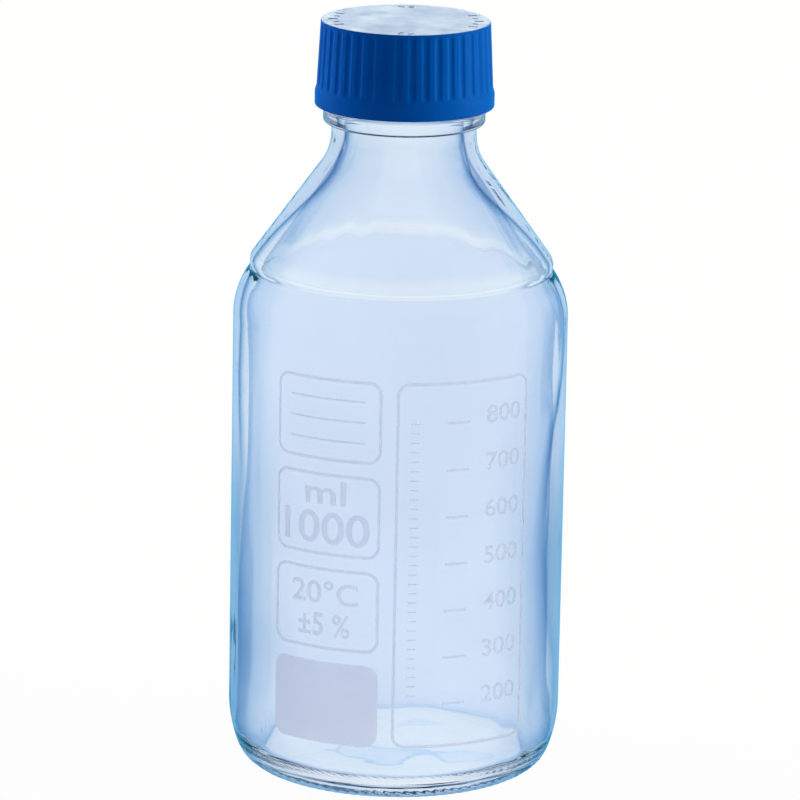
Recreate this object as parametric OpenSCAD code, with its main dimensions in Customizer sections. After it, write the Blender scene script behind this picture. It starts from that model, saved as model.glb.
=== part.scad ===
// Screw-top laboratory reagent bottle, 1000 ml, with a 45 mm neck thread.
// The origin is the middle of the foot, +Z runs up the bottle's axis, and the printed side faces -Y.

/* [Glass body] */
// Outside diameter of the straight body
body_d = 101; // [92:0.5:112]
// Height of the glass, from the foot to the lip
glass_h = 225; // [200:1:260]
// Thickness of the body's wall
wall_t = 3.5; // [2.5:0.1:4.5]
// Thickness of the cone's wall
cone_wall_t = 4; // [3:0.1:5]
// Thickness of the base
base_t = 5; // [3.5:0.1:7]

/* [Foot and heel] */
// How far inside the body's wall the heel leaves the table
foot_inset = 11; // [10:0.1:14]
// Width of the flat ring that the bottle stands on
foot_w = 3; // [2:0.1:6]
// Height of the hollow under the base
push_up = 2.5; // [1:0.1:4]
// Radius of the lower part of the heel
heel_r = 9; // [6:0.1:9.9]
// Radius of the upper part of the heel, which runs into the wall
heel_blend_r = 40; // [30:1:60]
// Radius of the corner inside the base
inner_heel_r = 8; // [5:0.5:12]

/* [Shoulder and neck] */
// Radius of the shoulder's arc
shoulder_r = 23.5; // [21:0.5:28]
// Height of the shoulder, from the straight wall to the middle of its roll
shoulder_h = 16.2; // [14:0.1:18]
// Radius of the roll between the shoulder and the cone
roll_r = 4; // [3:0.1:5]
// How far the roll stands proud of the shoulder's arc
roll_out = 2.35; // [2:0.05:3]
// Radius of the dip between the shoulder and the roll
dip_r = 1; // [0.5:0.1:2]
// Radius of the curve inside the shoulder
inner_shoulder_r = 20; // [16:0.5:26]
// Angle between the cone and the bottle's axis
cone_angle = 35.7; // [32:0.1:39]
// Radius of the curve from the cone to the neck
neck_fillet_r = 16.3; // [12:0.1:18]
// Radius of the same curve inside the bottle
inner_fillet_r = 14; // [10:0.5:16]
// Height of the straight neck, from that curve to the bead
neck_h = 2.7; // [1:0.1:10]
// Thickness of the neck's wall
neck_wall_t = 4; // [3:0.1:5]
// How far the neck stands out from the root of the thread
neck_out = 0.95; // [0.2:0.05:1.5]
// How far the bead stands out from the neck
bead_out = 2.55; // [1.5:0.05:3.5]
// Height of the bead under the cap
bead_h = 5; // [4:0.1:7]
// Radius of the bead's upper edge
bead_round = 1.4; // [0.5:0.1:1.5]
// Gap between the bead and the closed cap
bead_gap = 0.7; // [0.4:0.1:2]

/* [Finish] */
// Outside diameter of the neck's thread
thread_d = 44.6; // [40:0.1:49]
// Height of the thread's ridge above its root
thread_depth = 1.5; // [1.2:0.1:1.6]
// Rise of the thread in one turn
pitch = 4; // [3.8:0.1:4.4]
// Turns of thread on the neck
neck_turns = 2.2; // [1.5:0.1:2.4]
// Height of the start of the thread over the foot of the closed cap
thread_start = 4.2; // [3.8:0.1:5]
// Diameter of the bore through the finish
bore_d = 30.6; // [26:0.1:33]
// Length of that bore, from the lip
bore_l = 19; // [15:0.5:20]
// Height over which it widens to the inside of the neck
flare_h = 6; // [3:0.5:8]
// How far the lip stands back from the root of the thread
lip_setback = 0.9; // [0.6:0.1:1.5]
// Height of the lip that the pouring ring clips to
lip_h = 3.2; // [2.6:0.1:4]
// Radius of the lip's edges
lip_round = 0.8; // [0.3:0.1:1]
// Depth of the groove below the lip
groove_depth = 0.6; // [0.3:0.1:0.9]
// Height of that groove
groove_h = 2.2; // [1.4:0.1:3]

/* [Pouring ring] */
// Thickness of the ring over the lip
ring_top_t = 0.8; // [0.6:0.1:1.2]
// Thickness of the ring's skirt
ring_skirt_t = 0.7; // [0.6:0.05:0.8]
// How far the ring's edge stands back from the bore
ring_setback = 0.6; // [0.3:0.1:1.2]

/* [Screw cap] */
// Height of the cap, up to the flat of its roof
cap_h = 25.7; // [23:0.1:27]
// Thickness of the cap's wall at the top, between the ribs
cap_wall_t = 2; // [1.5:0.1:4]
// How much wider the ribbed part is at its bottom than at its top
cap_taper = 2; // [0.5:0.1:3]
// How much wider than the ribbed part the smooth band under it is
cap_band_out = 1.1; // [0.6:0.1:3]
// Height of that band
cap_band_h = 4.4; // [3:0.1:6]
// Height of the slope between the band and the ribs
cap_slope_h = 2.2; // [1:0.1:4]
// Radius of the band's lower edge
cap_band_round = 0.6; // [0.3:0.1:2]
// Radius of the edge of the roof
cap_round = 0.5; // [0.2:0.1:1]
// Thickness of the cap's roof
roof_t = 1.8; // [1.6:0.1:3]
// Number of ribs
rib_n = 40; // [24:1:60]
// Width of a rib
rib_w = 2.2; // [1.2:0.1:2.4]
// Height of a rib
rib_depth = 0.6; // [0.4:0.05:0.9]
// Height of the plain strip over the ribs
rib_end = 1.4; // [0.8:0.1:3]
// Turns of thread in the cap
cap_turns = 2; // [1.5:0.1:2.4]
// Height of the raised marks on the roof
mark_t = 0.2; // [0.1:0.05:0.4]
// Length of the longest of those marks
mark_size = 2.8; // [1.8:0.1:4]
// How far the marks stand back from the edge of the roof
mark_inset = 5; // [4.5:0.1:8]

/* [Seal] */
// Thickness of the silicone
seal_t = 1.9; // [1.5:0.1:2.5]
// Thickness of the facing under it
facing_t = 0.3; // [0.2:0.05:0.5]

/* [Clearances] */
// Radial play between the cap's thread and the neck's
thread_play = 0.45; // [0.3:0.05:0.6]
// Radial play between the seal and the cap
seal_play = 0.75; // [0.3:0.05:1.2]
// Play between the pouring ring and the lip
ring_play = 0.1; // [0.05:0.05:0.15]

/* [Print] */
// Thickness of the fired enamel
enamel_t = 0.1; // [0.05:0.05:0.3]
// Height of the print's lower edge
print_z = 18.5; // [16:0.5:30]
// Space between the print's upper edge and the end of the straight wall
print_gap = 8.7; // [4:0.1:20]
// Width of the frames' line
frame_line = 0.9; // [0.6:0.1:1.2]
// Radius of the frames' corners
frame_r = 4; // [2:0.5:6]
// Width of the panels
panel_w = 34.5; // [32:0.5:42]
// Space between one panel and the next
panel_gap = 3.9; // [3:0.1:6]
// Space between the panels and the scale
scale_gap = 4.2; // [2:0.1:8]

/* [Volume scale] */
// Width of the scale's frame
scale_w = 43.6; // [40:0.1:50]
// Place of its left edge, along the wall from the middle of the front
scale_left = -0.6; // [-5:0.1:5]
// Volume between two lines, in ml
line_ml = 100; // [50:50:200]
// Height of the line for twice that volume
scale_z = 32; // [28:0.5:40]
// Space kept over the top line
scale_head = 6; // [5:0.5:12]
// Width of a line
line_w = 7.2; // [4:0.1:9]
// Thickness of a line
line_t = 0.7; // [0.4:0.1:1]
// Distance from the frame's left edge to the lines
line_inset = 15.2; // [12:0.1:18]
// Width of a fine mark
fine_w = 2.6; // [1.5:0.1:4]
// Thickness of a fine mark
fine_t = 0.4; // [0.2:0.1:0.7]
// Distance from the frame's left edge to the middle of the fine marks
fine_inset = 5.6; // [4:0.1:8]
// Height of the scale's numbers
number_h = 5.6; // [4:0.1:6.5]
// Distance from the frame's right edge to the middle of the numbers
number_inset = 9.3; // [8.5:0.1:11]

/* [Hidden] */
$fn = 96;

arc_steps = 10;
thread_seg = 30;
flank_tan = tan(30);

// Radii from the thread outwards and inwards: neck, bead and lip on the glass, then the cap and its seal.
body_r = body_d / 2;
bore_r = bore_d / 2;
inner_r = body_r - wall_t;
foot_r = body_r - foot_inset;
root_r = thread_d / 2 - thread_depth;
neck_r = root_r + neck_out;
neck_in_r = neck_r - neck_wall_t;
bead_r = neck_r + bead_out;
bead_curve = min(bead_out, bead_h - bead_round);
lip_r = root_r - lip_setback;
groove_r = lip_r - groove_depth;
cap_bore_r = thread_d / 2 + thread_play;
cap_top_r = cap_bore_r + cap_wall_t + rib_depth;
cap_rib_r = cap_top_r + cap_taper / 2;
cap_band_r = cap_rib_r + cap_band_out / 2;
seal_r = cap_bore_r - seal_play;

// Everything above the lip is stacked from it, and the closed cap hangs from that stack.
lip_z = glass_h - lip_h;
groove_z = lip_z - groove_h;
bore_z = glass_h - bore_l;
ring_top_z = glass_h + ring_top_t;
facing_top_z = ring_top_z + facing_t;
seal_top_z = facing_top_z + seal_t;
cap_top_z = seal_top_z + roof_t;
cap_z = cap_top_z - cap_h;
rib_z = cap_z + cap_band_h + cap_slope_h;
rib_end_z = cap_top_z - rib_end;
mark_ring_r = cap_top_r - mark_inset;
bead_top_z = cap_z - bead_gap;
bead_z = bead_top_z - bead_h;
neck_thread_z = cap_z + thread_start;
cap_thread_z = neck_thread_z - pitch / 2;

// The heel is two arcs that meet smoothly, so its turn follows from their radii.
heel_turn = asin((heel_blend_r - foot_inset) / (heel_blend_r - heel_r));
heel_z = heel_r + (heel_blend_r - heel_r) * cos(heel_turn);

// The dip touches the shoulder's arc and the roll, and the cone leaves the roll smoothly. The height of
// the straight wall is what the neck, the cone and the shoulder leave of the height of the glass.
cone_n = [cos(cone_angle), sin(cone_angle)];
roll_reach = shoulder_r - roll_r + roll_out;
roll_at = asin(shoulder_h / roll_reach);
roll_from_c = roll_reach * [cos(roll_at), sin(roll_at)];
cone_from_wall = [body_r - shoulder_r, 0] + roll_from_c + roll_r * cone_n;
body_h = bead_z - neck_h - fillet_centre(neck_r, neck_fillet_r, cone_from_wall).y;
shoulder_c = [body_r - shoulder_r, body_h];
roll_c = shoulder_c + roll_from_c;
dip_reach = shoulder_r + dip_r;
dip_at = roll_at - acos((dip_reach ^ 2 + roll_reach ^ 2 - (roll_r + dip_r) ^ 2) / (2 * dip_reach * roll_reach));
dip_c = shoulder_c + dip_reach * [cos(dip_at), sin(dip_at)];
roll_from = atan2(dip_c.y - roll_c.y, dip_c.x - roll_c.x);
cone_top = roll_c + roll_r * cone_n;
inner_cone = cone_top - cone_wall_t * cone_n;
neck_fillet_c = fillet_centre(neck_r, neck_fillet_r, cone_top);
inner_fillet_c = fillet_centre(neck_in_r, inner_fillet_r, inner_cone);
inner_shoulder_c = [
    inner_r - inner_shoulder_r,
    inner_cone.y + (-inner_shoulder_r - (inner_r - inner_shoulder_r - inner_cone.x) * cone_n.x) / cone_n.y
];

// Places on the printed side are given as the arc along the wall, positive to the right.
print_top_z = body_h - print_gap;
scale_right = scale_left + scale_w;
panel_right = scale_left - scale_gap;
panel_left = panel_right - panel_w;
panel_mid = (panel_left + panel_right) / 2;
panel_h = (print_top_z - print_z - 3 * panel_gap) / 4;

// The figures in the panels are drawn for a panel of this size, and they shrink or grow with it.
drawn_w = 34.5;
drawn_h = 25;
unit = min(panel_w / drawn_w, panel_h / drawn_h);

// The lines' distance follows from the volume between them and the area inside the body.
line_step = 1000 * line_ml / (PI * inner_r * inner_r);
line_n = floor((print_top_z - scale_z - scale_head) / line_step) + 1;

function arc(c, r, from, to, steps = arc_steps) =
    [for (i = [0:steps]) let (a = from + (to - from) * i / steps) c + r * [cos(a), sin(a)]];

// Middle of an arc of radius r that runs from a vertical wall at radius w to the cone through p.
function fillet_centre(w, r, p) = [w + r, p.y + (r - (w + r - p.x) * cone_n.x) / cone_n.y];

function reversed(list) = [for (i = [len(list) - 1:-1:0]) list[i]];

// ---- Glass ----

function dome(r_out, z, rise) =
    [for (i = [0:arc_steps]) let (t = i / arc_steps) [r_out * t, z + rise * (1 - t * t)]];

function outer_profile() = concat(
    dome(foot_r - foot_w, 0, push_up),
    arc([foot_r, heel_r], heel_r, -90, heel_turn - 90),
    arc([body_r - heel_blend_r, heel_z], heel_blend_r, heel_turn - 90, 0),
    arc(shoulder_c, shoulder_r, 0, dip_at),
    arc(dip_c, dip_r, dip_at + 180, roll_from + 180, 4),
    arc(roll_c, roll_r, roll_from, cone_angle, 6),
    reversed(arc(neck_fillet_c, neck_fillet_r, 180, 180 + cone_angle)),
    arc([bead_r - bead_curve, bead_z + bead_curve], bead_curve, -90, 0, 6),
    arc([bead_r - bead_round, bead_top_z - bead_round], bead_round, 0, 90, 4)
);

function finish_profile() = concat(
    [[root_r, bead_top_z]],
    [[root_r, groove_z]],
    [[groove_r, groove_z]],
    [[groove_r, lip_z]],
    [[lip_r, lip_z + groove_depth]],
    arc([lip_r - lip_round, glass_h - lip_round], lip_round, 0, 90, 4),
    arc([bore_r + lip_round, glass_h - lip_round], lip_round, 90, 180, 4)
);

function inner_profile() = concat(
    [[bore_r, bore_z], [neck_in_r, bore_z - flare_h]],
    arc(inner_fillet_c, inner_fillet_r, 180, 180 + cone_angle),
    reversed(arc(inner_shoulder_c, inner_shoulder_r, 0, cone_angle)),
    reversed(arc([inner_r - inner_heel_r, base_t + inner_heel_r], inner_heel_r, -90, 0)),
    reversed(dome(inner_r - inner_heel_r - 1, base_t, push_up))
);

// A right-hand ridge wound on a cylinder of radius r. It stands out by rise, or in if rise is negative.
module thread_ridge(r, rise, crest_w, turns, z) {
    steps = ceil(turns * thread_seg);
    bite = -0.4 * sign(rise);
    base_w = crest_w + 2 * flank_tan * (abs(rise) + abs(bite));
    function fade(i) = min(1, (i + 0.5) / 8, (steps - i + 0.5) / 8);
    function ring(i) = let (tip = r + rise * fade(i), zi = z + pitch * i / thread_seg)
        [[r + bite, zi - base_w / 2], [tip, zi - crest_w / 2], [tip, zi + crest_w / 2], [r + bite, zi + base_w / 2]];
    function placed(p, i) = [p.x * cos(360 * i / thread_seg), p.x * sin(360 * i / thread_seg), p.y];
    points = [for (i = [0:steps]) for (p = rise > 0 ? ring(i) : reversed(ring(i))) placed(p, i)];
    sides = [for (i = [0:steps - 1]) for (j = [0:3]) let (k = (j + 1) % 4, a = 4 * i, b = 4 * i + 4)
        each [[a + j, a + k, b + k], [a + j, b + k, b + j]]];
    polyhedron(points, concat([[3, 2, 1, 0]], sides, [[for (j = [0:3]) 4 * steps + j]]));
}

module glass_bottle() {
    color([0.78, 0.87, 0.95, 0.5]) {
        rotate_extrude() polygon(concat(outer_profile(), finish_profile(), inner_profile()));
        thread_ridge(root_r, thread_depth, 1, neck_turns, neck_thread_z);
    }
}

// ---- Pouring ring ----

module pouring_ring() {
    in_r = lip_r + ring_play;
    out_r = in_r + ring_skirt_t;
    clip_r = groove_r + 2 * ring_play;
    foot_z = groove_z + ring_play;
    color("royalblue") rotate_extrude() polygon([
        [bore_r + ring_setback, glass_h],
        [bore_r + ring_setback, ring_top_z],
        [out_r, ring_top_z],
        [out_r, foot_z],
        [clip_r, foot_z],
        [clip_r, lip_z - 2 * ring_play],
        [in_r, lip_z + groove_depth],
        [in_r, glass_h]
    ]);
}

// ---- Cap ----

function skirt_r(z) = cap_rib_r + (cap_top_r - cap_rib_r) * (z - rib_z) / (cap_top_z - rib_z);

module cap_shell() {
    rotate_extrude() polygon(concat(
        [[cap_bore_r + 0.6, cap_z]],
        arc([cap_band_r - cap_band_round, cap_z + cap_band_round], cap_band_round, -90, 0, 5),
        [[cap_band_r, cap_z + cap_band_h]],
        [[skirt_r(rib_z) - rib_depth, rib_z]],
        [[skirt_r(rib_end_z) - rib_depth, rib_end_z]],
        [[skirt_r(rib_end_z), rib_end_z]],
        arc([cap_top_r - cap_round, cap_top_z - cap_round], cap_round, 0, 90, 4),
        [[0, cap_top_z]],
        [[0, seal_top_z]],
        [[cap_bore_r, seal_top_z]],
        [[cap_bore_r, cap_z + 0.6]]
    ));
}

module cap_rib() {
    half = rib_w / cap_rib_r * 90 / PI;
    foot_z = rib_z - 0.75 * cap_slope_h;
    rotate([0, 0, -90 - half]) rotate_extrude(angle = 2 * half) polygon([
        [skirt_r(rib_z) - rib_depth - 0.4, foot_z],
        [skirt_r(foot_z), foot_z],
        [skirt_r(rib_end_z), rib_end_z + 0.4],
        [skirt_r(rib_end_z) - rib_depth - 0.4, rib_end_z + 0.4]
    ]);
}

// Raised marks round the edge of the roof: the thread's size in figures, twice, and rows of short bars.
module roof_marks() {
    for (side = [0, 180]) {
        for (i = [0, 1])
            roof_mark(side + 8 * (i - 0.5)) digit([5, 4][i], mark_size, 0.6);
        for (i = [-5:5])
            roof_mark(side + 90 + 5 * i) translate([-0.3, 0]) square([0.6, i % 5 == 0 ? mark_size : 1.6]);
    }
}

module roof_mark(a) {
    rotate([0, 0, a]) translate([0, mark_ring_r, cap_top_z - 0.2]) linear_extrude(mark_t + 0.2) children();
}

module screw_cap() {
    color("royalblue") {
        cap_shell();
        for (i = [0:rib_n - 1]) rotate([0, 0, 360 / rib_n * i]) cap_rib();
        roof_marks();
        thread_ridge(cap_bore_r, -thread_depth, 0.8, cap_turns, cap_thread_z);
    }
}

// ---- Seal ----

module seal_disc() {
    color("white") translate([0, 0, facing_top_z]) cylinder(r = seal_r, h = seal_t);
}

module seal_facing() {
    color("ivory") translate([0, 0, ring_top_z]) cylinder(r = seal_r, h = facing_t);
}

// ---- Printed marks ----

module on_wall(s) {
    rotate([0, 0, s / body_r * 180 / PI]) children();
}

module sector(from, to, z, h, r_in, r_out) {
    on_wall(from) rotate([0, 0, -90]) rotate_extrude(angle = (to - from) / body_r * 180 / PI)
        translate([r_in, z]) square([r_out - r_in, h]);
}

module skin(from, to, z, h) {
    sector(from, to, z, h, body_r, body_r + enamel_t);
}

// Prints a flat figure on the wall, with its middle at arc s and its foot at height z.
module stamp(s, z, w, h) {
    intersection() {
        skin(s - w / 2 - 1, s + w / 2 + 1, z - 1, h + 2);
        on_wall(s) rotate([90, 0, 0]) translate([0, z, body_r - 3]) linear_extrude(6) children();
    }
}

// Cuts a round corner, at the top left when neither flip is set. s and z are the middle of its arc.
module corner_cut(s, z, r, flip_x, flip_z) {
    on_wall(s) rotate([90, 0, 0]) translate([0, z, body_r - 3]) mirror([flip_x, 0, 0]) mirror([0, flip_z, 0])
        linear_extrude(6) polygon(concat(
            [[0, r + 1]], arc([-0.05, 0.05], r, 90, 180, 6), [[-r - 1, 0], [-r - 1, r + 1]]
        ));
}

// A field with round corners. It starts depth below the wall's face and ends height above it.
module field(left, right, z, h, r, depth, height) {
    difference() {
        sector(left, right, z, h, body_r - depth, body_r + height);
        for (flip_x = [0, 1]) for (flip_z = [0, 1])
            corner_cut(flip_x == 0 ? left + r : right - r, flip_z == 0 ? z + h - r : z + r, r, flip_x, flip_z);
    }
}

module frame(left, right, z, h) {
    difference() {
        field(left, right, z, h, frame_r, 0, enamel_t);
        field(left + frame_line, right - frame_line, z + frame_line, h - 2 * frame_line,
            frame_r - frame_line, 1, 1);
    }
}

// A line of width w along the points of a path.
module stroke(path, w) {
    last = len(path) - 1;
    function along(i) = let (d = path[min(i + 1, last)] - path[max(i - 1, 0)]) d / norm(d);
    function side(i, k) = path[i] + k * w / 2 * [-along(i).y, along(i).x];
    polygon([for (i = [0:last]) side(i, 1), for (i = [last:-1:0]) side(i, -1)]);
}

function oval(c, rx, ry, from = 0, to = 360, steps = 12) =
    [for (i = [0:steps]) let (a = from + (to - from) * i / steps) c + [rx * cos(a), ry * sin(a)]];

module loop(c, rx, ry, w) {
    difference() {
        polygon(oval(c, rx + w / 2, ry + w / 2, steps = 20));
        polygon(oval(c, rx - w / 2, ry - w / 2, steps = 20));
    }
}

// Plain figures, standing on y = 0 with their middle at x = 0. a is half their width, w their line.
module digit(d, h, w) {
    a = 0.28 * h;
    low = 0.28 * h;
    high = (h - w) / 2 - low + w / 2;
    top = h - w / 2;
    if (d == 0) loop([0, h / 2], a, top - h / 2, w);
    if (d == 1) {
        stroke([[0, 0], [0, h]], w);
        stroke([[0, top], [-a, 0.74 * h]], w);
    }
    if (d == 2) {
        stroke(concat(oval([0, top - low], a, low, 165, -20), [[-a, w / 2]]), w);
        stroke([[-a - w / 2, w / 2], [a + w / 2, w / 2]], w);
    }
    if (d == 3) {
        stroke(oval([0, top - high], 0.9 * a, high, 150, -100), w);
        stroke(oval([0, w / 2 + low], a, low, 100, -150), w);
    }
    if (d == 4) {
        stroke([[0.4 * a, h], [-a, 0.3 * h]], w);
        stroke([[-1.2 * a, 0.3 * h], [1.2 * a, 0.3 * h]], w);
        stroke([[0.45 * a, 0], [0.45 * a, h]], w);
    }
    if (d == 5) {
        stroke([[-0.8 * a, top], [a, top]], w);
        stroke([[-0.8 * a, h], [-0.95 * a, 0.45 * h]], w);
        stroke(oval([0, w / 2 + low], a, low, 140, -150), w);
    }
    if (d == 6) digit_six(a, low, top, w);
    if (d == 9) translate([0, h]) rotate(180) digit_six(a, low, top, w);
    if (d == 7) {
        stroke([[-a, top], [a + w / 2, top]], w);
        stroke([[a, h], [-0.3 * a, 0]], w);
    }
    if (d == 8) {
        loop([0, w / 2 + low], a, low, w);
        loop([0, top - high], 0.85 * a, high, w);
    }
}

module digit_six(a, low, top, w) {
    loop([0, w / 2 + low], a, low, w);
    stroke(oval([0.5 * a, w / 2 + low], 1.5 * a, top - low - w / 2, 95, 180), w);
}

function digits(value) = value < 10 ? [value] : concat(digits(floor(value / 10)), [value % 10]);

module number(value, s, z, h, w, step) {
    digits = digits(value);
    for (i = [0:len(digits) - 1])
        stamp(s + (i - (len(digits) - 1) / 2) * step, z, 0.8 * h, h) digit(digits[i], h, w);
}

module print_scale_frame() {
    color("lavender") frame(scale_left, scale_right, print_z, print_top_z - print_z);
}

function line_z(i) = scale_z + i * line_step;

module print_scale_lines() {
    left = scale_left + line_inset;
    color("lavender") for (i = [0:line_n - 1]) skin(left, left + line_w, line_z(i) - line_t / 2, line_t);
}

// The numbers stand a little higher than centred on their lines.
module print_scale_numbers() {
    mid = scale_right - number_inset;
    foot = -0.214 * number_h;
    color("lavender") for (i = [0:line_n - 1])
        number(line_ml * (2 + i), mid, line_z(i) + foot, number_h, number_h / 7, 0.78 * number_h);
}

// A column of short lines, five to each step of the scale.
module print_fine_marks() {
    left = scale_left + fine_inset - fine_w / 2;
    color("lavender") for (i = [0:5 * (line_n - 1)])
        skin(left, left + fine_w, line_z(i / 5) - fine_t / 2, fine_t);
}

function panel_z(row) = print_z + row * (panel_h + panel_gap);

module panel(row) {
    frame(panel_left, panel_right, panel_z(row), panel_h);
}

// A flat figure in a panel. s and z are its place from the middle of the panel's foot, and w and h hold it.
module in_panel(row, s, z, w, h) {
    stamp(panel_mid + s * unit, panel_z(row) + z * unit, w * unit, h * unit) scale(unit) children();
}

module panel_number(row, value, s, z, h, w, step) {
    number(value, panel_mid + s * unit, panel_z(row) + z * unit, h * unit, w * unit, step * unit);
}

// Three ruled lines to write on.
module print_title_panel() {
    color("lavender") {
        panel(3);
        for (i = [1:3])
            skin(panel_left + 5, panel_right - 5, panel_z(3) + panel_h * i / 4 - fine_t, 1.5 * fine_t);
    }
}

module print_capacity_panel() {
    color("lavender") {
        panel(2);
        panel_number(2, 1000, 0, 3.4, 10, 1.5, 7.2);
        in_panel(2, -1.6, 15.8, 9, 6) letter_m(5.6, 1.3);
        in_panel(2, 5.4, 15.8, 2, 8) stroke([[0, 0], [0, 7.6]], 1.3);
    }
}

module letter_m(h, w) {
    stroke([[-4, 0], [-4, h]], w);
    for (x = [-2, 2]) {
        stroke(oval([x, h - 2 - w / 2], 2, 2, 180, 0), w);
        stroke([[x + 2, 0], [x + 2, h - 2 - w / 2]], w);
    }
}

// The temperature of the scale, and its tolerance in per cent.
module print_limits_panel() {
    top = 14;
    low = 4;
    color("lavender") {
        panel(1);
        panel_number(1, 20, -6.5, top, 7, 1.1, 5.4);
        in_panel(1, 2, top + 4.4, 3, 3) loop([0, 1.3], 0.9, 0.9, 0.8);
        in_panel(1, 8, top, 6, 7) stroke(oval([0, 3.5], 2.2, 3, 50, 310), 1.1);
        in_panel(1, -6.5, low, 5, 7) {
            stroke([[-2, 4.2], [2, 4.2]], 1);
            stroke([[0, 2.2], [0, 6.2]], 1);
            stroke([[-2, 0.6], [2, 0.6]], 1);
        }
        panel_number(1, 5, 0, low, 7, 1.1, 5.4);
        in_panel(1, 7.4, low, 7, 7) {
            loop([-1.8, 5.4], 1, 1.2, 0.8);
            loop([1.8, 1.6], 1, 1.2, 0.8);
            stroke([[-1.8, 0], [1.8, 7]], 0.8);
        }
    }
}

module print_write_on_patch() {
    color("lavender") field(panel_left, panel_right, panel_z(0), panel_h, frame_r, 0, enamel_t);
}

glass_bottle();
pouring_ring();
screw_cap();
seal_disc();
seal_facing();
print_scale_frame();
print_scale_lines();
print_scale_numbers();
print_fine_marks();
print_title_panel();
print_capacity_panel();
print_limits_panel();
print_write_on_patch();
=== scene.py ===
import bmesh
import bpy
import math
from mathutils import Matrix, Vector, noise


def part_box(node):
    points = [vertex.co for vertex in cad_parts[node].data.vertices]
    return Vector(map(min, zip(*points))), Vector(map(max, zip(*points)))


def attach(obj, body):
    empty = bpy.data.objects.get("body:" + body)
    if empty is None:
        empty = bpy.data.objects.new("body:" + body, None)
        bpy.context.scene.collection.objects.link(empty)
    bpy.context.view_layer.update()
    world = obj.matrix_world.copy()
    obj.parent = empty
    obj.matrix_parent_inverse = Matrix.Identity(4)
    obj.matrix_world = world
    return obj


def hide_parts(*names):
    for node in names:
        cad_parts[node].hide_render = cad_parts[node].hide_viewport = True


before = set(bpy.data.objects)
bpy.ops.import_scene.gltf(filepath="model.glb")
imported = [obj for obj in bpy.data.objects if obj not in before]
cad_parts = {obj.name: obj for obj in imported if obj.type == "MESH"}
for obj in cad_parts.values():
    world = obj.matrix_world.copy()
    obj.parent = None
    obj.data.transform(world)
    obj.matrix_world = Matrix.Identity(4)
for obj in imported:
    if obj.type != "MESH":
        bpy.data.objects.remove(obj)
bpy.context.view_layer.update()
mm = 0.001               # the dictionaries below are in millimetres, the scene is in metres
turn = 2 * math.pi
scene = bpy.context.scene
print("frame loaded:", len(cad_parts), "nodes")

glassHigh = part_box("glass_bottle")[1]
capLow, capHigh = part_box("screw_cap")
ringLow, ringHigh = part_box("pouring_ring")
discLow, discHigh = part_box("seal_disc")
facingLow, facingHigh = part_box("seal_facing")


# Small helpers for outlines. A point is (radius, height), and a row adds the name of its zone.

def arcPoints(centre, radius, start, end, steps):
    points = []
    for i in range(steps + 1):
        a = math.radians(start + (end - start) * i / steps)
        points.append((centre[0] + radius * math.cos(a), centre[1] + radius * math.sin(a)))
    return points


def linePoints(start, end, steps):
    return [(start[0] + (end[0] - start[0]) * i / steps, start[1] + (end[1] - start[1]) * i / steps)
            for i in range(steps + 1)]


def domePoints(radius, height, rise, steps):
    return [(radius * i / steps, height + rise * (1 - (i / steps) ** 2)) for i in range(steps + 1)]


def asRows(zone, points):
    return [(r, z, zone) for r, z in points]


def smooth(low, high, x):
    t = min(1.0, max(0.0, (x - low) / (high - low)))
    return t * t * (3 - 2 * t)


def between(rise, fall, x):
    # Comes in smoothly over the first range and goes out over the second
    return smooth(*rise, x) * (1 - smooth(*fall, x))


def wander(seed, angle, z, around, along):
    # Smooth noise that closes on itself round the axis
    place = (around * math.cos(angle) + seed, around * math.sin(angle), z * along + 3 * seed)
    return noise.noise(Vector(place))


def addPiece(name, mesh, body, nodes, sharpAngle=40):
    mesh.name = name
    mesh.shade_smooth()
    mesh.set_sharp_from_angle(angle=math.radians(sharpAngle))
    piece = bpy.data.objects.new(name, mesh)
    scene.collection.objects.link(piece)
    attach(piece, body)
    if nodes:
        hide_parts(*nodes)
    return piece


def spin(rows, segments, shape=None, closed=False, marks=None):
    # Turns an outline round the axis. Rows on the axis become one point, and shape may move each point.
    # marks gives functions of a row and an angle, and their values are kept as attributes for the finish.
    points, rings, faces = [], [], []
    values = {label: [] for label in marks or {}}
    for row in rows:
        ring = []
        if row[0] < 1e-6:
            points.append((0, 0, row[1] * mm))
            ring = [len(points) - 1] * segments
            for label, kept in values.items():
                kept.append(marks[label](row, 0.0))
        else:
            for k in range(segments):
                angle = turn * k / segments
                r, z = shape(row, angle) if shape else row[:2]
                points.append((r * mm * math.cos(angle), r * mm * math.sin(angle), z * mm))
                ring.append(len(points) - 1)
                for label, kept in values.items():
                    kept.append(marks[label](row, angle))
        rings.append(ring)
    pairs = list(zip(rings, rings[1:]))
    if closed:
        pairs.append((rings[-1], rings[0]))
    for low, high in pairs:
        for k in range(segments):
            n = (k + 1) % segments
            corners = [low[k], low[n], high[n], high[k]]
            face = [c for i, c in enumerate(corners) if c != corners[i - 1]]
            if len(face) > 2:
                faces.append(face)
    mesh = bpy.data.meshes.new("turned")
    mesh.from_pydata(points, [], faces)
    form = bmesh.new()
    form.from_mesh(mesh)
    bmesh.ops.recalc_face_normals(form, faces=form.faces)
    form.to_mesh(mesh)
    form.free()
    for label, kept in values.items():
        mesh.attributes.new(label, "FLOAT", "POINT").data.foreach_set("value", kept)
    return mesh


# The glass: a blown body with an even outside and a slightly uneven inside.

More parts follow.
